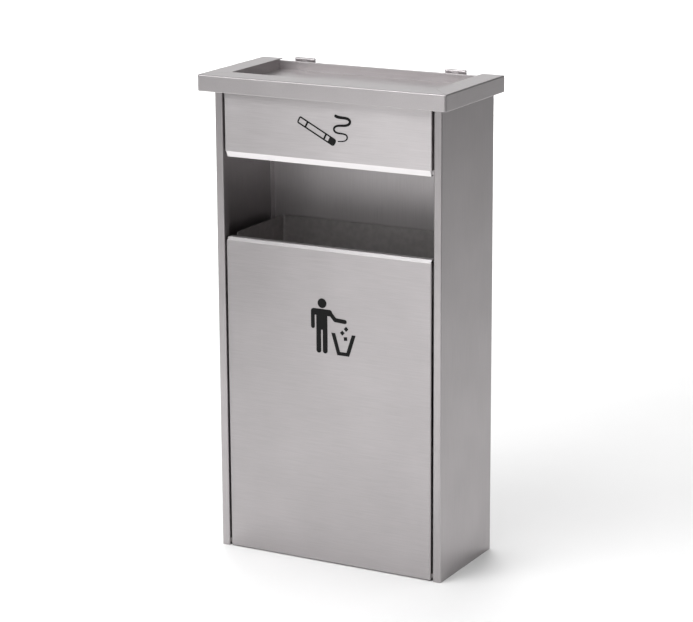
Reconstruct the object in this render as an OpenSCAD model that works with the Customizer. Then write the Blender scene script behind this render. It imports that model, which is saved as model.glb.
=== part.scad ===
// Wall-hung litter bin with a hinged ash tray on top, folded from brushed stainless sheet.
// Millimetres, +Z up, front of the bin towards -Y.
// Origin: centre of the overall footprint, at the level of the lowest edges.

/* [Body] */
// Outer width of the body across the two side panels
body_w = 378; // [300:1:460]
// Depth of the body from the front stiles to the back face
body_d = 172; // [140:1:240]
// Height of the ash tray's top face
rim_top = 740; // [660:1:890]
// Thickness of the stainless sheet
sheet = 1.2; // [1:0.1:1.5]
// Outside radius of the sheet's right-angle bends
bend_r = 2; // [1.6:0.1:2.4]
// Width of the front stile that each side panel turns inwards
stile_w = 13; // [11:0.5:20]
// Depth of the return flange behind each stile
return_d = 14; // [13:0.5:20]
// Depth of the back panel's side flanges
back_flange = 12; // [8:1:20]

/* [Ash tray] */
// Overhang of the tray beyond each side of the body
tray_side = 17; // [12:0.5:25]
// Overhang of the tray beyond the front of the body
tray_front = 22; // [14:0.5:30]
// Height of the tray's outer skirt
skirt_h = 25; // [20:0.5:35]
// Height of the fold at the foot of the skirt
skirt_hem = 6; // [4:0.5:9]
// Width of the flat band at each side of the pan
band_side = 36; // [30:0.5:45]
// Width of the flat band in front of the pan
band_front = 41; // [32:0.5:50]
// Depth of the pan below the bands
pan_depth = 16; // [12:0.5:20]
// Drop of the pan's rear wall below the bands
rear_drop = 2; // [1:0.5:4]
// Corner radius of the skirt in plan
skirt_r = 4; // [3:0.5:6]

/* [Fascia and window] */
// Height of the throw-in window's upper edge
fascia_bottom = 615; // [560:1:640]
// Height of the slanted fold along the fascia's lower edge
fascia_chamfer = 9; // [5:0.5:12]
// Depth of that slanted fold
fascia_slant = 4; // [3:0.5:9]
// Return behind the fascia's slanted fold
fascia_return = 6; // [4:0.5:10]
// Depth of the fascia's top flange
fascia_flange = 12; // [8:0.5:16]
// Length of the ears that weld to the return flanges
ear_l = 6; // [4:0.5:8]

/* [Door] */
// Height of the door's top, which is the window's lower edge
door_top = 492; // [420:1:520]
// Clearance under the door
door_bottom = 1; // [0.8:0.1:2]
// Gap between the door or fascia and each stile
side_gap = 3.2; // [3:0.1:4]
// Height of the slanted fold below the door's top
door_chamfer = 4.6; // [3:0.1:8]
// Depth of the flat top of the door
door_lip = 10; // [6:0.5:12]
// Length of the turned-down edge behind the flat top
door_hem = 7; // [4:0.5:10]
// Depth of the door's side flanges
door_flange = 11; // [10:0.5:11.5]
// Depth of the door's bottom flange, which stops the door under the base
door_heel = 12; // [11:0.5:12.5]
// Outside radius of the door's bottom bend
door_bend_r = 2.5; // [2.2:0.1:3]
// Distance of the door's pivots behind its face
pivot_back = 5; // [4.8:0.1:5.4]
// Height of the door's pivots
pivot_z = 8; // [8:0.1:9]
// Radius of the door's pivot pins
pivot_r = 2; // [1.8:0.1:2.4]
// Radius of the pivot pins' heads
pivot_head_r = 3.4; // [3:0.1:3.5]
// Radius of the pivot washers
pivot_washer_r = 4.2; // [3.6:0.1:4.5]

/* [Liner] */
// Clearance between the liner and the stiles' return flanges
liner_side_gap = 7.5; // [5:0.5:12]
// Distance of the liner's front behind the door's face
liner_front = 20; // [18:0.5:30]
// Clearance between the liner and the back panel
liner_back_gap = 7; // [5:0.5:20]
// Height of the liner's rim above the door's top
liner_over = 3; // [0:0.5:10]
// Drop of the liner's front edge below its rim
liner_front_drop = 14; // [8:0.5:30]
// Thickness of the liner's sheet
liner_t = 1; // [0.8:0.1:1.5]
// Radius of the liner's upright corners
liner_r = 5; // [3:0.5:10]

/* [Hinges] */
// Distance of each lid hinge from the middle of the bin
hinge_x = 128; // [60:1:140]
// Length of a lid hinge
hinge_l = 34; // [28:1:50]
// Radius of a lid hinge's knuckles
knuckle_r = 2.5; // [2.2:0.1:3]
// Height of the lid hinges' axis above the tray's top face
hinge_rise = 1.5; // [1.2:0.1:2.5]
// Radius of a lid hinge's pin
hinge_pin_r = 1.25; // [1:0.05:1.4]
// Radius of the hinge rivets' shanks
rivet_r = 1.6; // [1.2:0.1:2]
// Distance between the two rivets of a leaf
rivet_pitch = 20; // [14:1:24]

/* [Base and wall fixing] */
// Height of the base plate's underside
base_z = 15.3; // [15.3:0.1:20]
// Width of the base plate's turned-in feet
foot_w = 12; // [8:1:20]
// Distance between the wall-fixing holes across the back
wall_hole_dx = 240; // [160:5:280]
// Distance between the wall-fixing holes up the back
wall_hole_dz = 410; // [300:5:420]
// Height of the lower wall-fixing holes
wall_hole_z = 270; // [120:5:280]
// Radius of a wall-fixing hole
wall_hole_r = 3.5; // [2.5:0.1:5]

/* [Catches] */
// Height of a door catch
catch_h = 40; // [30:1:60]
// Depth of a door catch
catch_d = 16; // [12:0.5:20]
// Width of a door catch's housing
catch_w = 6.5; // [6:0.1:7]
// Distance of the catches' tops below the door's top
catch_below_top = 14; // [12:1:60]

/* [Marks] */
// Thickness of the vinyl marks
mark_t = 0.3; // [0.2:0.05:0.5]
// Height of the cigarette mark above the middle of the fascia's visible face
cig_mark_up = 4; // [-4:0.5:6]
// Distance of the litter mark's middle below the door's top
litter_mark_down = 119; // [70:1:240]

/* [Fits] */
// Running clearance round a hinge pin
pin_clear = 0.05; // [0.02:0.01:0.1]
// Clearance between pieces that move past each other
run_gap = 0.3; // [0.2:0.05:0.5]

/* [Hidden] */
$fn = 48;

// Anything longer than this cuts right through a thin sheet
cut = 1;
hw = body_w / 2;
total_d = body_d + tray_front;
y_f = -total_d / 2 + tray_front;
y_b = total_d / 2;
// Inner faces of the return flanges, and half the width of the door and fascia
stile_in = hw - stile_w;
front_hw = stile_in - side_gap;

// Ash tray
tray_hw = hw + tray_side;
tray_hd = total_d / 2;
skirt_z = rim_top - skirt_h;
band_z = rim_top - sheet;
pan_hw = tray_hw - band_side;
pan_y = -tray_hd + band_front;
pan_z = rim_top - pan_depth;
rear_top = rim_top - rear_drop;
// The body stops short of the swing of the bands' rear corners about the lid hinge
hinge_z = rim_top + hinge_rise;
body_top = hinge_z - norm([knuckle_r + sheet, hinge_rise + sheet]) - 2 * run_gap;
back_top = body_top - run_gap;
// Rubber clips on the side walls' top edges, which the tray rests on
clip_l = 14;
clip_wall = 1.8;
clip_drop = 5;
clip_top = band_z - run_gap;

// Lid hinge: both leaves are tangent to the knuckles
hinge_y = y_b - sheet - knuckle_r;
rear_wall_y = hinge_y - knuckle_r;
rivet_head_r = 1.7 * rivet_r;
rivet_head_h = 0.9;
// The pan's rear wall hangs low enough for the rivets below the pan
rivet_edge = 1;
rear_low = min(skirt_z, pan_z - sheet - 2 * rivet_head_r - 2 * rivet_edge);
leaf_low = rear_low + rivet_edge;
middle_hw = hinge_l / 6;
moving_rivet_z = (rear_low + pan_z - sheet) / 2;
fixed_rivet_z = pan_z + rivet_edge;

// Door
heel_in = front_hw - sheet - run_gap;
door_fold_z = door_top - door_chamfer;
pivot_y = y_f + pivot_back;
pivot_head_t = 1.6;
miter = sheet * (sqrt(2) - 1);
band_cut = 1.2;

// Catches, behind the return flanges and below the door's top
catch_top = door_top - catch_below_top;
catch_mid = catch_top - catch_h / 2;
strike_y = y_f + return_d - 0.5;
catch_y = strike_y + sheet + run_gap;
catch_screw_dz = 24;
catch_screw_r = 1.4;
catch_head_r = 2.6;
catch_head_t = 1.6;
bracket_lap = 11;
magnet_t = 2;
strike_h = 26;
strike_rivet_dz = 14;

// Base and liner
base_half = hw - sheet;
base_rear = y_b - back_flange - run_gap;
tongue_y = y_f + 8;
liner_hw = stile_in - liner_side_gap;
liner_y0 = y_f + liner_front;
liner_y1 = y_b - sheet - liner_back_gap;
liner_z = base_z + sheet + run_gap;
liner_top = door_top + liner_over;

// ---------- Sheet sections ----------

// A straight length of sheet, drawn from corner a to corner b
module leg(a, b) {
    translate([min(a[0], b[0]), min(a[1], b[1])])
        square([abs(b[0] - a[0]), abs(b[1] - a[1])]);
}

// A right-angle bend about the point c, in quadrant q counted from (+, +)
module bend(c, q, r = bend_r) {
    translate(c) rotate(90 * q) intersection() {
        difference() {
            circle(r);
            circle(r - sheet);
        }
        square(r);
    }
}

// Stands a (y, z) section up and draws it from -half to +half along X
module along_x(half) {
    translate([-half, 0, 0]) rotate([90, 0, 90]) linear_extrude(2 * half) children();
}

module up(z0, z1) {
    translate([0, 0, z0]) linear_extrude(z1 - z0) children();
}

module box(a, b) {
    translate(a) cube(b - a);
}

// A round bar along X from x0 to x1, centred on y and z
module bar_x(x0, x1, y, z, r) {
    translate([x0, y, z]) rotate([0, 90, 0]) cylinder(h = x1 - x0, r = r);
}

module bar_y(y0, y1, x, z, r) {
    translate([x, y0, z]) rotate([-90, 0, 0]) cylinder(h = y1 - y0, r = r);
}

module both_sides() {
    children();
    mirror([1, 0, 0]) children();
}

// ---------- Housing ----------

// Side wall, front stile and return flange of the left panel, seen from above
module side_section() {
    leg([-hw, y_f + bend_r], [-hw + sheet, y_b]);
    bend([-hw + bend_r, y_f + bend_r], 2);
    leg([-hw + bend_r, y_f], [-stile_in - bend_r, y_f + sheet]);
    bend([-stile_in - bend_r, y_f + bend_r], 3);
    leg([-stile_in - sheet, y_f + bend_r], [-stile_in, y_f + return_d]);
}

module side_panel() {
    difference() {
        up(0, body_top) side_section();
        bar_x(-stile_in - sheet - cut, -stile_in + cut, pivot_y, pivot_z, pivot_r);
    }
}

module left_side_panel() {
    color("silver") side_panel();
}

module right_side_panel() {
    color("silver") mirror([1, 0, 0]) side_panel();
}

// Back sheet with forward flanges that are spot-welded inside the side walls
module back_panel() {
    color("darkgray") difference() {
        up(0, back_top) {
            leg([-base_half + bend_r, y_b - sheet], [base_half - bend_r, y_b]);
            both_sides() {
                bend([base_half - bend_r, y_b - bend_r], 0);
                leg([base_half - sheet, y_b - back_flange], [base_half, y_b - bend_r]);
            }
        }
        for (sx = [-1, 1], k = [0, 1])
            bar_y(y_b - sheet - cut, y_b + cut, sx * wall_hole_dx / 2,
                wall_hole_z + k * wall_hole_dz, wall_hole_r);
        for (sx = [-1, 1], k = [-1, 1])
            bar_y(y_b - sheet - cut, y_b + cut, sx * hinge_x + k * rivet_pitch / 2,
                fixed_rivet_z, rivet_r);
    }
}

// Raised floor on turned-in feet; its front tongue stops the door's heel
module base_plate() {
    top = base_z + sheet;
    rear_half = base_half - sheet - bend_r;
    color("gray") {
        up(base_z, top) {
            leg([-base_half, y_f + return_d + run_gap], [base_half, base_rear]);
            leg([-heel_in, tongue_y], [heel_in, y_f + return_d + cut]);
            leg([-rear_half, base_rear - cut], [rear_half, y_b - sheet]);
        }
        both_sides() {
            box([base_half - sheet, y_f + return_d + run_gap, 0], [base_half, base_rear, base_z]);
            box([base_half - foot_w, y_f + return_d + run_gap, 0], [base_half, base_rear, sheet]);
        }
        box([-rear_half, y_b - 2 * sheet, 0], [rear_half, y_b - sheet, base_z]);
        box([-rear_half, y_b - sheet - foot_w, 0], [rear_half, y_b - sheet, sheet]);
    }
}

// Front sheet, side flanges and the ears behind the return flanges, seen from above
module fascia_section() {
    ear_y = y_f + return_d;
    leg([-front_hw + bend_r, y_f], [front_hw - bend_r, y_f + sheet]);
    both_sides() {
        bend([front_hw - bend_r, y_f + bend_r], 3);
        leg([front_hw - sheet, y_f + bend_r], [front_hw, ear_y + sheet - bend_r]);
        bend([front_hw - sheet + bend_r, ear_y + sheet - bend_r], 1);
        leg([front_hw - sheet + bend_r, ear_y], [stile_in + ear_l, ear_y + sheet]);
    }
}

// Top flange, front sheet and slanted lower fold in one strip, seen from the side
module fascia_strip() {
    fold_z = fascia_bottom + fascia_chamfer;
    back_y = y_f + fascia_slant;
    fold_turn = atan(fascia_slant / fascia_chamfer);
    polygon([
        [y_f, fold_z],
        [back_y, fascia_bottom],
        [back_y + fascia_return, fascia_bottom],
        [back_y + fascia_return, fascia_bottom + sheet],
        [back_y + sheet * tan(45 - fold_turn / 2), fascia_bottom + sheet],
        [y_f + sheet, fold_z + sheet * tan(fold_turn / 2)],
        [y_f + sheet, back_top - bend_r],
        [y_f, back_top - bend_r]
    ]);
    bend([y_f + bend_r, back_top - bend_r], 1);
    leg([y_f + bend_r, back_top - sheet], [y_f + fascia_flange, back_top]);
}

module fascia() {
    color("lightgray") {
        up(fascia_bottom + fascia_chamfer, back_top - bend_r) fascia_section();
        along_x(front_hw - sheet - band_cut) fascia_strip();
    }
}

module lid_buffers() {
    color("dimgray") both_sides() for (y = [y_f + 35, y_b - 37]) difference() {
        box([hw - sheet - clip_wall, y, body_top - clip_drop],
            [hw + clip_wall, y + clip_l, clip_top]);
        box([hw - sheet, y - cut, body_top - clip_drop - cut], [hw, y + clip_l + cut, body_top]);
    }
}

// ---------- Lid hinges ----------

// A leaf hanging from its knuckles. dir is 1 for the fixed leaf, behind, and -1 for the moving one.
module hinge_leaf(dir, rivet_z) {
    plate_y = hinge_y + dir * (knuckle_r - sheet / 2);
    relief = knuckle_r + run_gap;
    difference() {
        union() {
            translate([-hinge_l / 2, plate_y - sheet / 2, leaf_low])
                cube([hinge_l, sheet, hinge_z - leaf_low]);
            if (dir > 0)
                bar_x(-hinge_l / 2, hinge_l / 2, hinge_y, hinge_z, knuckle_r);
            else
                bar_x(-middle_hw, middle_hw, hinge_y, hinge_z, knuckle_r);
        }
        if (dir > 0)
            box([-middle_hw - run_gap, hinge_y - relief, hinge_z - relief],
                [middle_hw + run_gap, hinge_y + relief, hinge_z + relief]);
        else
            for (x = [-hinge_l / 2 - cut, middle_hw])
                box([x, hinge_y - relief, hinge_z - relief],
                    [x + hinge_l / 2 - middle_hw + cut, hinge_y + relief, hinge_z + relief]);
        bar_x(-hinge_l, hinge_l, hinge_y, hinge_z, hinge_pin_r + pin_clear);
        for (k = [-1, 1])
            bar_y(plate_y - sheet, plate_y + sheet, k * rivet_pitch / 2, rivet_z, rivet_r);
    }
}

module left_hinge_fixed_leaf() {
    color("gainsboro") translate([-hinge_x, 0, 0]) hinge_leaf(1, fixed_rivet_z);
}

module right_hinge_fixed_leaf() {
    color("gainsboro") translate([hinge_x, 0, 0]) hinge_leaf(1, fixed_rivet_z);
}

module left_hinge_moving_leaf() {
    color("whitesmoke") translate([-hinge_x, 0, 0]) hinge_leaf(-1, moving_rivet_z);
}

module right_hinge_moving_leaf() {
    color("whitesmoke") translate([hinge_x, 0, 0]) hinge_leaf(-1, moving_rivet_z);
}

module hinge_pin(x) {
    bar_x(x - hinge_l / 2, x + hinge_l / 2, hinge_y, hinge_z, hinge_pin_r);
}

module left_hinge_pin() {
    color("gray") hinge_pin(-hinge_x);
}

module right_hinge_pin() {
    color("gray") hinge_pin(hinge_x);
}

// Rivets with a low head in front and a flush tail behind
module leaf_rivets(y0, y1, z) {
    for (sx = [-1, 1], k = [-1, 1]) {
        x = sx * hinge_x + k * rivet_pitch / 2;
        bar_y(y0, y1, x, z, rivet_r);
        bar_y(y0 - rivet_head_h, y0, x, z, rivet_head_r);
    }
}

module fixed_leaf_rivets() {
    color("gray") leaf_rivets(y_b - 2 * sheet, y_b, fixed_rivet_z);
}

module moving_leaf_rivets() {
    color("gray") leaf_rivets(rear_wall_y - sheet, rear_wall_y + sheet, moving_rivet_z);
}

// ---------- Ash tray ----------

// Edge of the rim, d outwards from the corner centre and z up: band, bend, skirt and folded hem
module rim_edge() {
    leg([0, band_z], [skirt_r - bend_r, rim_top]);
    bend([skirt_r - bend_r, rim_top - bend_r], 0);
    leg([skirt_r - sheet, skirt_z + sheet], [skirt_r, rim_top - bend_r]);
    leg([skirt_r - 2 * sheet, skirt_z + sheet], [skirt_r - sheet, skirt_z + skirt_hem]);
    translate([skirt_r - sheet, skirt_z + sheet]) intersection() {
        circle(sheet);
        translate([-sheet, -sheet]) square([2 * sheet, sheet]);
    }
}

module tray_rim() {
    edge_x = tray_hw - skirt_r;
    edge_y = tray_hd - skirt_r;
    color("lightgray") {
        mirror([0, 1, 0]) translate([0, edge_y, 0]) along_x(edge_x) rim_edge();
        both_sides() {
            translate([edge_x, tray_hd, 0]) rotate([90, 0, 0])
                linear_extrude(tray_hd + edge_y) rim_edge();
            translate([edge_x, -edge_y, 0]) rotate([0, 0, 270])
                rotate_extrude(angle = 90) rim_edge();
            up(band_z, rim_top) leg([pan_hw, -edge_y], [edge_x, tray_hd]);
            // Turned-in end that closes the skirt at the back, clear of the rubber clips
            box([hw + clip_wall + 2 * run_gap, tray_hd - sheet, skirt_z + sheet],
                [tray_hw - sheet, tray_hd, band_z]);
        }
        up(band_z, rim_top) leg([-edge_x, -edge_y], [edge_x, pan_y]);
    }
}

// Shallow pan welded under the bands; its rear wall is folded over and hangs down behind
module ash_pan() {
    wall_top = rear_top - sheet;
    rear_half = base_half - sheet - 2 * run_gap;
    front_y = pan_y - sheet;
    hem_y = rear_wall_y - sheet;
    color("silver") difference() {
        union() {
            up(pan_z - sheet, pan_z) leg([-pan_hw - sheet, front_y], [pan_hw + sheet, rear_wall_y]);
            up(pan_z - sheet, band_z) {
                leg([-pan_hw - sheet, front_y], [pan_hw + sheet, pan_y]);
                both_sides() leg([pan_hw, front_y], [pan_hw + sheet, hem_y - sheet]);
            }
            up(pan_z - sheet, wall_top)
                leg([-pan_hw - sheet, hem_y - sheet], [pan_hw + sheet, rear_wall_y]);
            up(rear_low, wall_top) leg([-rear_half, hem_y], [rear_half, rear_wall_y]);
            intersection() {
                bar_x(-pan_hw - sheet, pan_hw + sheet, hem_y, wall_top, sheet);
                box([-tray_hw, hem_y - sheet, wall_top], [tray_hw, rear_wall_y, rear_top]);
            }
        }
        for (sx = [-1, 1], k = [-1, 1])
            bar_y(hem_y - cut, rear_wall_y + cut, sx * hinge_x + k * rivet_pitch / 2,
                moving_rivet_z, rivet_r);
    }
}

// ---------- Door ----------

// Front sheet and side flanges, seen from above
module door_section() {
    leg([-front_hw + bend_r, y_f], [front_hw - bend_r, y_f + sheet]);
    both_sides() {
        bend([front_hw - bend_r, y_f + bend_r], 3);
        leg([front_hw - sheet, y_f + bend_r], [front_hw, y_f + door_flange]);
    }
}

// The door's side outline, rounded at its lower front corner so that it swings clear
module door_outline() {
    translate([y_f + door_bend_r, door_bottom + door_bend_r]) circle(door_bend_r);
    leg([y_f, door_bottom + door_bend_r], [y_f + door_flange, door_fold_z]);
    leg([y_f + door_bend_r, door_bottom], [y_f + door_flange, door_fold_z]);
}

// Heel, front sheet, slanted fold, flat top and turned-down edge, seen from the side
module door_strip() {
    back_y = y_f + door_chamfer;
    lip_y = back_y + door_lip;
    bend([y_f + door_bend_r, door_bottom + door_bend_r], 2, door_bend_r);
    leg([y_f + door_bend_r, door_bottom], [y_f + door_heel, door_bottom + sheet]);
    leg([y_f, door_bottom + door_bend_r], [y_f + sheet, door_fold_z - miter]);
    polygon([
        [y_f, door_fold_z - miter],
        [y_f, door_fold_z],
        [back_y, door_top],
        [lip_y, door_top],
        [lip_y, door_top - door_hem],
        [lip_y - sheet, door_top - door_hem],
        [lip_y - sheet, door_top - sheet],
        [back_y + miter, door_top - sheet],
        [y_f + sheet, door_fold_z - miter]
    ]);
}

module door_panel() {
    color("lightgray") difference() {
        union() {
            intersection() {
                up(0, door_fold_z) door_section();
                along_x(front_hw) door_outline();
            }
            along_x(heel_in) door_strip();
        }
        both_sides() {
            bar_x(front_hw - sheet - cut, front_hw + cut, pivot_y, pivot_z, pivot_r + pin_clear);
            for (k = [-1, 1])
                bar_x(front_hw - sheet - cut, front_hw + cut, y_f + door_flange / 2,
                    catch_mid + k * strike_rivet_dz / 2, catch_screw_r);
        }
    }
}

// Pin peened over at both ends, through the return flange, the washer and the door
module pivot_pin() {
    inner = front_hw - sheet - run_gap;
    outer = stile_in + sheet;
    bar_x(inner, outer, pivot_y, pivot_z, pivot_r);
    bar_x(inner - pivot_head_t, inner, pivot_y, pivot_z, pivot_head_r);
    bar_x(outer, outer + pivot_head_t, pivot_y, pivot_z, pivot_head_r);
}

module right_pivot_pin() {
    color("gainsboro") pivot_pin();
}

module left_pivot_pin() {
    color("gainsboro") mirror([1, 0, 0]) pivot_pin();
}

module pivot_washer() {
    difference() {
        bar_x(front_hw + run_gap, stile_in, pivot_y, pivot_z, pivot_washer_r);
        bar_x(front_hw - cut, stile_in + cut, pivot_y, pivot_z, pivot_r);
    }
}

module right_pivot_washer() {
    color("gray") pivot_washer();
}

module left_pivot_washer() {
    color("gray") mirror([1, 0, 0]) pivot_washer();
}

// ---------- Magnetic catches ----------

// Flat tab welded to the hidden side of the return flange
module catch_bracket() {
    difference() {
        box([stile_in + sheet, catch_y - bracket_lap, catch_top - catch_h],
            [stile_in + 2 * sheet, catch_y + catch_d, catch_top]);
        for (k = [-1, 1])
            bar_x(stile_in, stile_in + 3 * sheet, catch_y + catch_d / 2,
                catch_mid + k * catch_screw_dz / 2, catch_screw_r);
    }
}

module right_catch_bracket() {
    color("gray") catch_bracket();
}

module left_catch_bracket() {
    color("gray") mirror([1, 0, 0]) catch_bracket();
}

// Space of the magnet in the front of its housing
module magnet_space() {
    inset = 1.2;
    box([stile_in + sheet - catch_w + inset, catch_y, catch_mid - catch_h / 4],
        [stile_in - inset, catch_y + magnet_t, catch_mid + catch_h / 4]);
}

module catch_housing() {
    inner = stile_in + sheet - catch_w;
    difference() {
        box([inner, catch_y, catch_top - catch_h], [stile_in + sheet, catch_y + catch_d, catch_top]);
        magnet_space();
        for (k = [-1, 1]) {
            z = catch_mid + k * catch_screw_dz / 2;
            bar_x(inner - cut, stile_in + sheet + cut, catch_y + catch_d / 2, z, catch_screw_r);
            bar_x(inner - cut, inner + catch_head_t, catch_y + catch_d / 2, z, catch_head_r);
        }
    }
}

module right_catch_housing() {
    color("whitesmoke") catch_housing();
}

module left_catch_housing() {
    color("whitesmoke") mirror([1, 0, 0]) catch_housing();
}

module catch_magnets() {
    color("dimgray") both_sides() magnet_space();
}

module catch_screws() {
    inner = stile_in + sheet - catch_w;
    nut_t = 2.2;
    color("gainsboro") both_sides() for (k = [-1, 1]) {
        z = catch_mid + k * catch_screw_dz / 2;
        bar_x(inner, stile_in + 2 * sheet + nut_t, catch_y + catch_d / 2, z, catch_screw_r);
        bar_x(inner, inner + catch_head_t, catch_y + catch_d / 2, z, catch_head_r);
        bar_x(stile_in + 2 * sheet, stile_in + 2 * sheet + nut_t, catch_y + catch_d / 2, z,
            catch_head_r);
    }
}

// Steel angle riveted inside the door's side flange, turned out in front of the magnet
module strike_plate() {
    foot_in = front_hw - 2 * sheet;
    difference() {
        union() {
            box([foot_in, y_f + 2 * sheet, catch_mid - strike_h / 2],
                [foot_in + sheet, strike_y + sheet, catch_mid + strike_h / 2]);
            box([foot_in, strike_y, catch_mid - strike_h / 2],
                [stile_in - 2 * run_gap, strike_y + sheet, catch_mid + strike_h / 2]);
        }
        for (k = [-1, 1])
            bar_x(foot_in - cut, front_hw, y_f + door_flange / 2,
                catch_mid + k * strike_rivet_dz / 2, catch_screw_r);
    }
}

module right_strike_plate() {
    color("gray") strike_plate();
}

module left_strike_plate() {
    color("gray") mirror([1, 0, 0]) strike_plate();
}

module strike_rivets() {
    foot_in = front_hw - 2 * sheet;
    color("gainsboro") both_sides() for (k = [-1, 1]) {
        z = catch_mid + k * strike_rivet_dz / 2;
        bar_x(foot_in, front_hw, y_f + door_flange / 2, z, catch_screw_r);
        bar_x(foot_in - rivet_head_h, foot_in, y_f + door_flange / 2, z, catch_head_r);
    }
}

// ---------- Liner ----------

module rounded_rect(x0, y0, x1, y1, r) {
    leg([x0 + r, y0], [x1 - r, y1]);
    leg([x0, y0 + r], [x1, y1 - r]);
    for (x = [x0 + r, x1 - r], y = [y0 + r, y1 - r])
        translate([x, y]) circle(r);
}

// Open box that stands on the base; its front edge is lower, behind the door's flat top
module inner_liner() {
    color("darkgray") difference() {
        up(liner_z, liner_top) rounded_rect(-liner_hw, liner_y0, liner_hw, liner_y1, liner_r);
        up(liner_z + liner_t, liner_top + cut)
            rounded_rect(-liner_hw + liner_t, liner_y0 + liner_t, liner_hw - liner_t,
                liner_y1 - liner_t, liner_r - liner_t);
        box([-liner_hw - cut, liner_y0 - cut, liner_top - liner_front_drop],
            [liner_hw + cut, liner_y0 + liner_r, liner_top + cut]);
    }
}

// ---------- Marks ----------

cig_mark_z = (skirt_z + fascia_bottom) / 2 + cig_mark_up;
litter_mark_z = door_top - litter_mark_down;

// Lays a drawing made in (x, z) on the front face as a thin film
module film() {
    translate([0, y_f, 0]) rotate([90, 0, 0]) linear_extrude(mark_t) children();
}

// Centre line of the smoke by phase angle: a wave with full round turns that narrows as it falls
smoke_a0 = 35;
smoke_a1 = 650;
smoke_steps = 60;
function smoke_t(a) = (a - smoke_a0) / (smoke_a1 - smoke_a0);
function smoke_line(a) = [
    28 - 4.6 * smoke_t(a) - (14 - 3.4 * smoke_t(a)) * cos(a),
    24.3 - 40 * smoke_t(a) - 1.6 * sin(2 * a) - 0.3 * cos(a)
];
function smoke_half(a) = 2.3 - 1.5 * smoke_t(a);
// A point round the centre line, turned from its direction, square to it at 90 and -90
function smoke_rim(a, turn) =
    let (d = smoke_line(a + 0.5) - smoke_line(a - 0.5), t = d / norm(d))
    smoke_line(a) + smoke_half(a) * (cos(turn) * t + sin(turn) * [-t[1], t[0]]);

// The stroke along the wave, round at its thick end
module smoke() {
    step = (smoke_a1 - smoke_a0) / smoke_steps;
    polygon(concat(
        [for (i = [0:smoke_steps]) smoke_rim(smoke_a0 + i * step, 90)],
        [for (i = [smoke_steps:-1:0]) smoke_rim(smoke_a0 + i * step, -90)],
        [for (turn = [-105:-15:-255]) smoke_rim(smoke_a0, turn)]
    ));
}

// Lit cigarette drawn in outline with a solid ember, pointing down to the right
module cigarette_mark() {
    tube_l = 57;
    tube_w = 11.6;
    line_w = 2.2;
    ring_w = 2.8;
    end_r = 2.8;
    filter_l = 14;
    paper_l = 48.5;
    ember_l = 12;
    ember_r = 4;
    tube_tilt = -27;
    color([0.1, 0.1, 0.1]) translate([0, 0, cig_mark_z]) film() {
        translate([-46, 13.2]) rotate(tube_tilt) {
            difference() {
                rounded_rect(0, -tube_w / 2, tube_l + end_r, tube_w / 2, end_r);
                rounded_rect(line_w, -tube_w / 2 + line_w, tube_l, tube_w / 2 - line_w,
                    end_r - line_w);
            }
            for (x = [filter_l, paper_l])
                leg([x, -tube_w / 2 + line_w / 2], [x + ring_w, tube_w / 2 - line_w / 2]);
            difference() {
                rounded_rect(0, -tube_w / 2, tube_l + ember_l, tube_w / 2, ember_r);
                leg([-line_w, -tube_w], [tube_l, tube_w]);
            }
        }
        smoke();
    }
}

// A stroke of width w with round ends, from a to b
module stroke(a, b, w) {
    d = b - a;
    translate(a) {
        rotate(atan2(d[1], d[0])) translate([0, -w / 2]) square([norm(d), w]);
        circle(w / 2);
    }
    translate(b) circle(w / 2);
}

// Standing figure that drops pieces into an open basket
module litter_mark() {
    arm_w = 6.4;
    leg_w = 8;
    piece = 5.6;
    hip_x = 5.4;
    shoulder_z = 22;
    foot_z = -38;
    color([0.1, 0.1, 0.1]) translate([-9.3, 0, litter_mark_z]) film() {
        translate([0.6, 34.8]) circle(7.4);
        rounded_rect(-18.4, 16, 17.6, 26, 4.8);
        stroke([-15.2, shoulder_z - 2], [-15.2, -2], arm_w);
        leg([-9.4, -6], [9.4, 20]);
        for (x = [-hip_x, hip_x])
            stroke([x, -6], [x, foot_z], leg_w);
        stroke([14, shoulder_z - 1], [22.5, 11.5], arm_w);
        stroke([22.5, 11.5], [39, 10.5], arm_w);
        for (p = [[41, -0.5, 45], [34.6, -7, 45], [40, -15.5, 5]])
            translate([p[0], p[1]]) rotate(p[2]) square(piece, center = true);
        // Basket in section: two slanted sides and a floor
        difference() {
            polygon([[16, -8.5], [26, -42], [46, -42], [57, -8.5]]);
            polygon([[22.2, -8], [30.6, -36.5], [41.4, -36.5], [50.8, -8]]);
        }
    }
}

// ---------- Output ----------

left_side_panel();
right_side_panel();
back_panel();
base_plate();
fascia();
cigarette_mark();
left_hinge_fixed_leaf();
right_hinge_fixed_leaf();
left_hinge_pin();
right_hinge_pin();
fixed_leaf_rivets();
left_catch_bracket();
right_catch_bracket();
left_catch_housing();
right_catch_housing();
catch_magnets();
catch_screws();
left_pivot_pin();
right_pivot_pin();
left_pivot_washer();
right_pivot_washer();
lid_buffers();
tray_rim();
ash_pan();
left_hinge_moving_leaf();
right_hinge_moving_leaf();
moving_leaf_rivets();
door_panel();
litter_mark();
left_strike_plate();
right_strike_plate();
strike_rivets();
inner_liner();
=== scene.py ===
# Wall-hung litter bin with a hinged ash tray, of brushed stainless sheet.
import math

import bmesh
import bpy
from mathutils import Matrix, Vector


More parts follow.
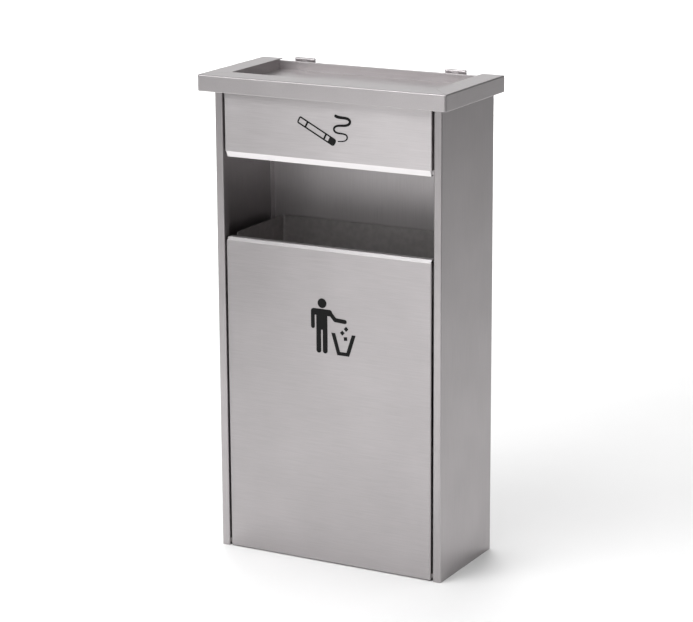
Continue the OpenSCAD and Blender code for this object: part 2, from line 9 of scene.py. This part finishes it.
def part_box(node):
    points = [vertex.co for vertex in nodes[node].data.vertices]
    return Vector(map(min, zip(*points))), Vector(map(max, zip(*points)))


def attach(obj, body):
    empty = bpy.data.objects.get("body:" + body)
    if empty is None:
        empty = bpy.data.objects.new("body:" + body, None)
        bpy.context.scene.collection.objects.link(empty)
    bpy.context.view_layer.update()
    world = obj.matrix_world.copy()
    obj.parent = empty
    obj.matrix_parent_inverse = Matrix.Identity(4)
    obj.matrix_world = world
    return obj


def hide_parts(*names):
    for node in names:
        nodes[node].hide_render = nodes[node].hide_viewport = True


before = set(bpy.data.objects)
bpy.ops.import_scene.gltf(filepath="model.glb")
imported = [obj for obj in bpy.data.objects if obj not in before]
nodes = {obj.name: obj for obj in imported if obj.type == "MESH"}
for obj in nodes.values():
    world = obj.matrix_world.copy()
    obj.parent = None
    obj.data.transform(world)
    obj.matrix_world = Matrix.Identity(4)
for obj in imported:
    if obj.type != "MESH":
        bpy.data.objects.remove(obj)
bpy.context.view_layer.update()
MM = 0.001

# ---------- Side panels ----------
# Left and right walls, each folded with its front stile and return flange from one sheet of
# 1.2 mm stainless. The sheet is brushed before folding, with the grain standing upright.


def rgb(hexa):
    # sRGB hex to linear RGBA
    parts = [int(hexa[i:i + 2], 16) / 255 for i in (1, 3, 5)]
    return tuple(c / 12.92 if c <= 0.04045 else ((c + 0.055) / 1.055) ** 2.4 for c in parts) + (1,)


def add(tree, kind, settings=(), links=()):
    # One node: settings are attributes by name or input values by socket, links feed its sockets
    node = tree.nodes.new(kind)
    for key, value in dict(settings).items():
        if isinstance(key, str) and hasattr(node, key):
            setattr(node, key, value)
        else:
            node.inputs[key].default_value = value
    for socket, source in dict(links).items():
        tree.links.new(source, node.inputs[socket])
    return node


def new_finish(name):
    # Empty material with its shader joined to the output
    mat = bpy.data.materials.new(name)
    mat.use_nodes = True
    tree = mat.node_tree
    tree.nodes.clear()
    shader = add(tree, "ShaderNodeBsdfPrincipled")
    add(tree, "ShaderNodeOutputMaterial", links={"Surface": shader.outputs["BSDF"]})
    return mat, tree, shader


def brushed_stainless(name, grain, low, high, rough=0.36, scratch_mm=1.1, length_mm=45,
                      depth_mm=0.012, spread=0.7):
    # AISI 304 sheet, belt-brushed with grit 240: dull silver with fine lines along the grain.
    # The real scratches are 0.05 to 0.1 mm wide; they are drawn about 1 mm wide so that they show.
    mat, tree, shader = new_finish(name)
    place = add(tree, "ShaderNodeTexCoord")
    across, along = 1 / (scratch_mm * MM), 1 / (length_mm * MM)
    scale = [along if axis == grain else across for axis in "xyz"]
    lined = add(tree, "ShaderNodeMapping", {"Scale": scale}, {"Vector": place.outputs["Object"]})
    lines = add(tree, "ShaderNodeTexNoise", {"Scale": 1, "Detail": 3, "Roughness": 0.6},
                {"Vector": lined.outputs[0]})
    # Faint patches a hand wide, from rolling and handling
    patch_mm, patch_share = 90, 0.35
    patches = add(tree, "ShaderNodeTexNoise", {"Scale": 1 / (patch_mm * MM), "Detail": 2},
                  {"Vector": place.outputs["Object"]})
    blend = add(tree, "ShaderNodeMix", {"data_type": "FLOAT", 0: patch_share},
                {2: lines.outputs["Fac"], 3: patches.outputs["Fac"]})
    ramp = add(tree, "ShaderNodeValToRGB", links={"Fac": blend.outputs[0]})
    ramp.color_ramp.elements[0].position = 0.32
    ramp.color_ramp.elements[0].color = rgb(low)
    ramp.color_ramp.elements[1].position = 0.68
    ramp.color_ramp.elements[1].color = rgb(high)
    swing = 0.05
    dull = add(tree, "ShaderNodeMapRange",
               {"From Min": 0.3, "From Max": 0.7, "To Min": rough - swing, "To Max": rough + swing},
               {"Value": lines.outputs["Fac"]})
    grooves = add(tree, "ShaderNodeBump", {"Strength": 0.5, "Distance": depth_mm * MM},
                  {"Height": lines.outputs["Fac"]})
    tree.links.new(ramp.outputs["Color"], shader.inputs["Base Color"])
    tree.links.new(dull.outputs["Result"], shader.inputs["Roughness"])
    tree.links.new(grooves.outputs["Normal"], shader.inputs["Normal"])
    shader.inputs["Metallic"].default_value = 1
    # Reflections spread across the grain, so the tangent circles the grain's own axis
    if spread:
        around = add(tree, "ShaderNodeTangent", {"direction_type": "RADIAL", "axis": grain.upper()})
        tree.links.new(around.outputs[0], shader.inputs["Tangent"])
        shader.inputs["Anisotropic"].default_value = spread
    return mat


def dress(mat, *names):
    # Gives every slot of these pieces the one finish
    for name in names:
        for slot in nodes[name].material_slots:
            slot.material = mat


upright_stainless = brushed_stainless("stainless_brushed_upright", "z", "#A6A2A3", "#B4B0B1")
dress(upright_stainless, "left_side_panel", "right_side_panel")

# ---------- Back panel and base plate ----------
# Back sheet with forward flanges spot-welded inside the side walls, and the raised floor. Both are
# the same stainless in a duller finish.
back_stainless = brushed_stainless("stainless_brushed_back", "z", "#CBC7C8", "#D8D4D5",
                                   rough=0.5, spread=0.3)
dress(back_stainless, "back_panel", "base_plate")

# ---------- Fascia ----------
# Front sheet above the throw-in window, with a slanted fold along its lower edge so that no hand
# meets a sharp rim. Same brushed stainless, with the grain lying across the front. The slanted fold
# gets a painted highlight: its colour is brighter than the face, standing in for the light it
# catches.


FADE = 0.2 * MM


def painted_fold_highlight(mat, dull_z, bright_z, colour):
    # Painted highlight on a fold: the base colour stays as before at dull_z and turns wholly to the
    # bright colour at bright_z
    tree = mat.node_tree
    shader = next(n for n in tree.nodes if n.type == "BSDF_PRINCIPLED")
    place = add(tree, "ShaderNodeTexCoord")
    upright = add(tree, "ShaderNodeSeparateXYZ", links={0: place.outputs["Object"]})
    highlight_share = add(tree, "ShaderNodeMapRange", {"From Min": dull_z, "From Max": bright_z},
                 {"Value": upright.outputs["Z"]})
    bright = add(tree, "ShaderNodeMix", {"data_type": "RGBA", 7: rgb(colour)},
                 {0: highlight_share.outputs["Result"], 6: shader.inputs["Base Color"].links[0].from_socket})
    tree.links.new(bright.outputs[2], shader.inputs["Base Color"])


cross_stainless = brushed_stainless("stainless_brushed_across", "x", "#BAB6B7", "#C7C3C4")
fascia_fold_h = 9 * MM
fold_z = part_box("fascia")[0][2] + fascia_fold_h
# Painted highlight: the slanted fold is coloured brighter than the face
painted_fold_highlight(cross_stainless, fold_z + FADE, fold_z - FADE, "#E3E0E1")
dress(cross_stainless, "fascia")

# ---------- Catches ----------
# Magnetic catches behind the return flanges: white polyamide housings, ferrite magnets, and
# zinc-plated screws and strike plates.


def moulded(name, colour, rough, grain_mm, depth_mm):
    # Moulded, pressed or rolled part: even colour with a fine grain in its surface
    mat, tree, shader = new_finish(name)
    place = add(tree, "ShaderNodeTexCoord")
    grain = add(tree, "ShaderNodeTexNoise", {"Scale": 1 / (grain_mm * MM), "Detail": 2},
                {"Vector": place.outputs["Object"]})
    shade = add(tree, "ShaderNodeHueSaturation", {"Color": rgb(colour)})
    level = add(tree, "ShaderNodeMapRange", {"To Min": 0.92, "To Max": 1.08},
                {"Value": grain.outputs["Fac"]})
    tree.links.new(level.outputs["Result"], shade.inputs["Value"])
    tree.links.new(shade.outputs["Color"], shader.inputs["Base Color"])
    bump = add(tree, "ShaderNodeBump", {"Strength": 0.4, "Distance": depth_mm * MM},
               {"Height": grain.outputs["Fac"]})
    tree.links.new(bump.outputs["Normal"], shader.inputs["Normal"])
    shader.inputs["Roughness"].default_value = rough
    return mat


def plated(name, low, high, rough, spangle_mm):
    # Zinc-coated, turned, stamped or ground steel: soft patches of lighter and darker metal
    mat, tree, shader = new_finish(name)
    place = add(tree, "ShaderNodeTexCoord")
    spangle = add(tree, "ShaderNodeTexNoise", {"Scale": 1 / (spangle_mm * MM), "Detail": 3},
                  {"Vector": place.outputs["Object"]})
    ramp = add(tree, "ShaderNodeValToRGB", links={"Fac": spangle.outputs["Fac"]})
    ramp.color_ramp.elements[0].position = 0.35
    ramp.color_ramp.elements[0].color = rgb(low)
    ramp.color_ramp.elements[1].position = 0.65
    ramp.color_ramp.elements[1].color = rgb(high)
    swing = 0.06
    dull = add(tree, "ShaderNodeMapRange", {"To Min": rough - swing, "To Max": rough + swing},
               {"Value": spangle.outputs["Fac"]})
    tree.links.new(ramp.outputs["Color"], shader.inputs["Base Color"])
    tree.links.new(dull.outputs["Result"], shader.inputs["Roughness"])
    shader.inputs["Metallic"].default_value = 1
    return mat


polyamide = moulded("polyamide_moulded_white", "#DAD9D4", rough=0.5, grain_mm=0.6, depth_mm=0.01)
ferrite = moulded("ferrite_pressed", "#2B2A2A", rough=0.6, grain_mm=0.8, depth_mm=0.03)
zinc = plated("steel_zinc_plated", "#A9ABAE", "#C9CBCD", rough=0.34, spangle_mm=3)
dress(polyamide, "left_catch_housing", "right_catch_housing")
dress(ferrite, "catch_magnets")
dress(zinc, "left_catch_bracket", "right_catch_bracket", "catch_screws", "left_strike_plate",
      "right_strike_plate", "strike_rivets")

# ---------- Rivets ----------
# Solid zinc-plated rivets, set from the front, that hold the hinge leaves to the back panel and
# the ash pan. Each set is one piece, with a domed head and a flush-ended shank at each place.


def rivet_tree(name):
    # Domed head and shank at each vertex of the input, lying along Y with the head at -Y
    tree = bpy.data.node_groups.new(name, "GeometryNodeTree")
    face = tree.interface
    face.new_socket("Places", in_out="INPUT", socket_type="NodeSocketGeometry")
    for label in ("Head radius", "Head height", "Shank radius", "Shank length"):
        face.new_socket(label, in_out="INPUT", socket_type="NodeSocketFloat")
    face.new_socket("Turn", in_out="INPUT", socket_type="NodeSocketVector")
    face.new_socket("Finish", in_out="INPUT", socket_type="NodeSocketMaterial")
    face.new_socket("Rivets", in_out="OUTPUT", socket_type="NodeSocketGeometry")
    given = add(tree, "NodeGroupInput").outputs
    dome = add(tree, "GeometryNodeMeshUVSphere", {"Segments": 24, "Rings": 12, "Radius": 1})
    size = add(tree, "ShaderNodeCombineXYZ",
               links={"X": given["Head radius"], "Y": given["Head radius"],
                      "Z": given["Head height"]})
    dome = add(tree, "GeometryNodeTransform",
               links={"Geometry": dome.outputs["Mesh"], "Scale": size.outputs[0]})
    shank = add(tree, "GeometryNodeMeshCylinder", {"Vertices": 24},
                {"Radius": given["Shank radius"], "Depth": given["Shank length"]})
    # The cylinder is centred, so half its length down puts its top in the dome's middle
    half = add(tree, "ShaderNodeMath", {"operation": "MULTIPLY", 1: -0.5},
               {0: given["Shank length"]})
    down = add(tree, "ShaderNodeCombineXYZ", links={"Z": half.outputs[0]})
    shank = add(tree, "GeometryNodeTransform",
                links={"Geometry": shank.outputs["Mesh"], "Translation": down.outputs[0]})
    rivet = add(tree, "GeometryNodeJoinGeometry")
    for part in (dome, shank):
        tree.links.new(part.outputs["Geometry"], rivet.inputs[0])
    smooth = add(tree, "GeometryNodeSetShadeSmooth", links={"Geometry": rivet.outputs[0]})
    turned = add(tree, "FunctionNodeEulerToRotation", links={0: given["Turn"]})
    placed = add(tree, "GeometryNodeInstanceOnPoints",
                 links={"Points": given["Places"], "Instance": smooth.outputs[0],
                        "Rotation": turned.outputs[0]})
    real = add(tree, "GeometryNodeRealizeInstances", links={"Geometry": placed.outputs[0]})
    done = add(tree, "GeometryNodeSetMaterial",
               links={"Geometry": real.outputs[0], "Material": given["Finish"]})
    add(tree, "NodeGroupOutput", links={0: done.outputs[0]})
    return tree


rivets_by_place = rivet_tree("rivets_by_place")


def rivet_set(name, node, body, places, turn, head_r, head_h, shank_r, shank_l, finish):
    # Stands for the CAD rivets of that name, with the same heads and shanks
    points = bpy.data.meshes.new(name + "_places")
    points.from_pydata(places, [], [])
    maker = bpy.data.objects.new(name + "_maker", points)
    bpy.context.collection.objects.link(maker)
    modifier = maker.modifiers.new("rivets", "NODES")
    modifier.node_group = rivets_by_place
    values = {"Head radius": head_r, "Head height": head_h, "Shank radius": shank_r,
              "Shank length": shank_l, "Turn": turn, "Finish": finish}
    for item in rivets_by_place.interface.items_tree:
        if item.in_out == "INPUT" and item.name in values:
            modifier[item.identifier] = values[item.name]
    ready = maker.evaluated_get(bpy.context.evaluated_depsgraph_get())
    mesh = bpy.data.meshes.new_from_object(ready)
    bpy.data.objects.remove(maker)
    piece = bpy.data.objects.new(name, mesh)
    bpy.context.collection.objects.link(piece)
    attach(piece, body)
    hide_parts(node)


FACING_FRONT = (math.radians(90), 0, 0)
HEAD_HEIGHT = 0.9 * MM
HEAD_PER_SHANK = 1.7
for node, leaf, body in (("fixed_leaf_rivets", "right_hinge_fixed_leaf", "housing"),
                         ("moving_leaf_rivets", "right_hinge_moving_leaf", "ash_tray")):
    low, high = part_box(node)
    leaf_low, leaf_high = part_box(leaf)
    head_r = (high[2] - low[2]) / 2
    middle = (leaf_low[0] + leaf_high[0]) / 2
    off_middle = high[0] - head_r - middle
    spots = [(side * (middle + k * off_middle), low[1] + HEAD_HEIGHT, (low[2] + high[2]) / 2)
             for side in (-1, 1) for k in (-1, 1)]
    rivet_set(node.replace("_rivets", "_domed_rivets"), node, body, spots, FACING_FRONT, head_r,
              HEAD_HEIGHT, head_r / HEAD_PER_SHANK, high[1] - low[1] - HEAD_HEIGHT, zinc)

# ---------- Door pivots ----------
# Two turned stainless pins, peened over at both ends, with stamped stainless washers in the side
# gaps.
turned_pin = plated("stainless_turned", "#BFBBBC", "#D9D5D6", rough=0.26, spangle_mm=1.5)
stamped_washer = plated("stainless_stamped_washer", "#6E6B6B", "#858181", rough=0.5,
                        spangle_mm=1.5)
dress(turned_pin, "left_pivot_pin", "right_pivot_pin", "left_hinge_pin", "right_hinge_pin")
dress(stamped_washer, "left_pivot_washer", "right_pivot_washer")

# ---------- Lid buffers ----------
# Rubber U-clips pushed onto the side walls' top edges, which the ash tray rests on. Moulded black
# rubber: dull, with a soft grain.
rubber = moulded("rubber_moulded_black", "#1E1E1F", rough=0.75, grain_mm=0.7, depth_mm=0.03)
dress(rubber, "lid_buffers")

# ---------- Liner ----------
# Lift-out inner bin of 1 mm sheet, hot-dip galvanised before folding. The zinc gives it a dull grey
# with soft crystals about 9 mm wide.
galvanised = plated("steel_galvanised", "#B2AEAE", "#BDB9B9", rough=0.5, spangle_mm=9)
dress(galvanised, "inner_liner")

# ---------- Door ----------
# Tilting front, folded on all four edges from one sheet, with the grain lying across. Its slanted
# top fold gets a painted highlight as well: a brighter colour that stands in for the light it
# catches.
door_stainless = brushed_stainless("stainless_brushed_door", "x", "#A9A5A6", "#B6B2B3")
door_fold_h = 4.6 * MM
fold_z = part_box("door_panel")[1][2] - door_fold_h
# Painted highlight: the slanted top fold is coloured brighter than the face
painted_fold_highlight(door_stainless, fold_z - FADE, fold_z + FADE, "#D6D3D4")
dress(door_stainless, "door_panel")

# ---------- Lid hinges ----------
# Two butt hinges of stainless strip at the tray's rear edge, with rolled knuckles, riveted to the
# back panel and to the pan. The strip is smoother and finer brushed than the sheet.
leaf_strip = brushed_stainless("stainless_strip_hinge", "x", "#C1BDBE", "#D1CDCE", rough=0.3,
                               scratch_mm=0.8, length_mm=12, depth_mm=0.01, spread=0)
dress(leaf_strip, "left_hinge_fixed_leaf", "right_hinge_fixed_leaf", "left_hinge_moving_leaf",
      "right_hinge_moving_leaf", "fixed_leaf_rivets", "moving_leaf_rivets")

# ---------- Ash tray ----------
# Lid that carries the ash pan: a rim folded down on three sides, and a shallow pan welded under it.
# The rim's front corners are mitred and welded, and the seams are ground low.
tray_stainless = brushed_stainless("stainless_brushed_tray", "y", "#B2AEAF", "#BFBBBC",
                                   rough=0.38, spread=0)
pan_stainless = brushed_stainless("stainless_brushed_pan", "x", "#B3AFB0", "#C0BCBD",
                                  rough=0.4, spread=0)
dress(tray_stainless, "tray_rim")
dress(pan_stainless, "ash_pan")


def mitre_seam(name, start, end, width, finish):
    # Low crowned bead from the pan's corner to the rim's corner. Run by hand, it swells and narrows
    # on its way, and it closes to a fifth of its width at both ends.
    start, end = Vector(start), Vector(end)
    run = (end - start).normalized()
    side = Vector((-run.y, run.x, 0))
    steps = 40
    wide_swell, fine_swell, wide_rate, fine_rate = 0.18, 0.1, 37, 91
    tip, taper_rate = 0.2, 12
    # Across the bead: share of the half width, and height in mm
    profile = ((-1, -0.05), (-0.5, 0.03), (0, 0.05), (0.5, 0.03), (1, -0.05))
    bm = bmesh.new()
    rows = []
    for i in range(steps + 1):
        share = i / steps
        swell = (1 + wide_swell * math.sin(wide_rate * share)
                 + fine_swell * math.sin(fine_rate * share))
        taper = min(1, taper_rate * share + tip, taper_rate * (1 - share) + tip)
        half = width / 2 * swell * taper
        middle = start.lerp(end, share)
        rows.append([bm.verts.new(middle + side * half * k + Vector((0, 0, lift * MM)))
                     for k, lift in profile])
    for one, other in zip(rows, rows[1:]):
        for k in range(4):
            bm.faces.new((one[k], other[k], other[k + 1], one[k + 1]))
        bm.faces.new((one[4], other[4], other[0], one[0]))
    bm.faces.new(rows[0])
    bm.faces.new(rows[-1])
    bmesh.ops.recalc_face_normals(bm, faces=bm.faces)
    mesh = bpy.data.meshes.new(name)
    bm.to_mesh(mesh)
    bm.free()
    for face in mesh.polygons:
        face.use_smooth = True
    mesh.materials.append(finish)
    seam = bpy.data.objects.new(name, mesh)
    bpy.context.collection.objects.link(seam)
    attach(seam, "ash_tray")


weld = plated("stainless_weld_ground", "#7E7A79", "#9C9796", rough=0.42, spangle_mm=2)
rim_low, rim_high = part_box("tray_rim")
# Widths of the rim's side and front bands, and how far the seam stays off the rounded edges
band_side, band_front, edge, bead = 36 * MM, 41 * MM, 2.5 * MM, 0.9 * MM
for side, label in ((-1, "left"), (1, "right")):
    inner = (side * (rim_high[0] - band_side), rim_low[1] + band_front, rim_high[2])
    outer = (side * (rim_high[0] - edge), rim_low[1] + edge, rim_high[2])
    mitre_seam(label + "_mitre_seam", inner, outer, bead, weld)

# ---------- Marks ----------
# Generic pictograms cut from black vinyl film and stuck on the fascia and the door. Matt film:
# nearly black, with hardly any shine.
vinyl = moulded("vinyl_film_black", "#080808", rough=0.6, grain_mm=0.9, depth_mm=0.006)
vinyl.node_tree.nodes["Principled BSDF"].inputs["Specular IOR Level"].default_value = 0.2
dress(vinyl, "cigarette_mark", "litter_mark")

# ---------- Floor, light and camera ----------
# Pale paper floor and soft studio light from the left, the front and above. The camera stands to
# the right of the bin and looks slightly down.


def floor_sheet():
    # Sixty metres wide, so that its edges lie far behind the bin
    mesh = bpy.data.meshes.new("floor")
    half = 30
    mesh.from_pydata([(-half, -half, 0), (half, -half, 0), (half, half, 0), (-half, half, 0)], [],
                     [(0, 1, 2, 3)])
    floor = bpy.data.objects.new("floor", mesh)
    bpy.context.collection.objects.link(floor)
    mat, tree, shader = new_finish("floor_paper_white")
    place = add(tree, "ShaderNodeTexCoord")
    fibre = add(tree, "ShaderNodeTexNoise", {"Scale": 4, "Detail": 2},
                {"Vector": place.outputs["Object"]})
    ramp = add(tree, "ShaderNodeValToRGB", links={"Fac": fibre.outputs["Fac"]})
    ramp.color_ramp.elements[0].color = rgb("#EAEAEA")
    ramp.color_ramp.elements[1].color = rgb("#EFEFEF")
    tree.links.new(ramp.outputs["Color"], shader.inputs["Base Color"])
    shader.inputs["Roughness"].default_value = 0.9
    mesh.materials.append(mat)


floor_sheet()


def soft_box(name, place, aim, width, height, radiance, glossy=True):
    # Area lamp aimed at a point; its watts are the radiance times pi times its area
    data = bpy.data.lights.new(name, "AREA")
    data.shape = "RECTANGLE"
    data.size, data.size_y = width, height
    data.energy = radiance * math.pi * width * height
    light = bpy.data.objects.new(name, data)
    light.location = place
    light.rotation_euler = (Vector(aim) - Vector(place)).to_track_quat("-Z", "Y").to_euler()
    light.visible_camera = False
    light.visible_glossy = glossy
    bpy.context.collection.objects.link(light)


# Boxes that light the metal and the floor: place, aim, width, height and radiance
soft_box("overhead_box", (0, 0, 3.2), (0, 0, 0), 3, 3, 1.05)
soft_box("front_top_box", (-0.3, -2.2, 2.6), (0, 0, 0.5), 2, 2, 0.86)
soft_box("close_top_box", (-0.2, -1.1, 1.5), (0, -0.1, 0.6), 1.0, 0.4, 5.7)
soft_box("close_left_box", (-0.55, -0.6, 1.0), (-0.15, -0.1, 0.7), 0.3, 0.3, 2.9)
soft_box("close_right_box", (0.6, -0.7, 1.1), (0.15, -0.1, 0.7), 0.3, 0.3, 2.8)
soft_box("low_left_box", (-0.9, -0.7, 0.7), (-0.1, -0.1, 0.6), 0.25, 0.9, 0.4)
soft_box("front_panel", (-0.15, -1.1, 0.45), (-0.15, 0, 0.45), 0.9, 0.9, 0.62)
soft_box("left_box", (-2.6, 0.4, 1.2), (0, 0, 0.4), 1.5, 2.4, 1.6)
soft_box("back_box", (-1.6, 2.8, 2.0), (0, 0, 0.7), 2.4, 1.6, 1.0)
# Boxes that only whiten the floor: behind, in front, and at both sides
soft_box("floor_behind", (-2.2, 3.6, 3.0), (-2.2, 3.6, 0), 3, 3, 5.3, glossy=False)
soft_box("floor_front", (-0.25, -0.6, 1.6), (-0.25, -0.6, 0), 0.8, 0.8, 2.2, glossy=False)
soft_box("floor_left", (-1.2, -1.8, 2.6), (-1.2, -1.8, 0), 1.6, 1.6, 2.6, glossy=False)
soft_box("floor_right", (0.8, 0.4, 1.5), (0.8, 0.4, 0), 0.8, 0.8, 1.3, glossy=False)
soft_box("floor_right_front", (1.0, -1.0, 1.6), (1.0, -1.0, 0), 0.8, 0.8, 1.4, glossy=False)
soft_box("floor_far", (-4.0, 7.5, 4.0), (-4.0, 7.5, 0), 5, 5, 4.0, glossy=False)

world = bpy.data.worlds.new("studio")
bpy.context.scene.world = world
world.use_nodes = True
sky = world.node_tree.nodes["Background"]
sky.inputs["Color"].default_value = rgb("#FFFFFF")
sky.inputs["Strength"].default_value = 0.2

scene = bpy.context.scene
scene.view_settings.view_transform = "Standard"
scene.cycles.glossy_bounces = 10
camera_data = bpy.data.cameras.new("camera")
camera = bpy.data.objects.new("camera", camera_data)
bpy.context.collection.objects.link(camera)
camera_data.sensor_width = 36
camera_data.lens = 132.4156
camera.location = (1.7747, -3.2836, 1.3429)
turn, drop, lean = (math.radians(degrees) for degrees in (28.5, 14.47, -0.32))
ahead = Vector((-math.sin(turn) * math.cos(drop), math.cos(turn) * math.cos(drop),
                -math.sin(drop)))
facing = ahead.to_track_quat("-Z", "Y").to_matrix().to_4x4() @ Matrix.Rotation(lean, 4, "Z")
camera.rotation_euler = facing.to_euler()
scene.camera = camera
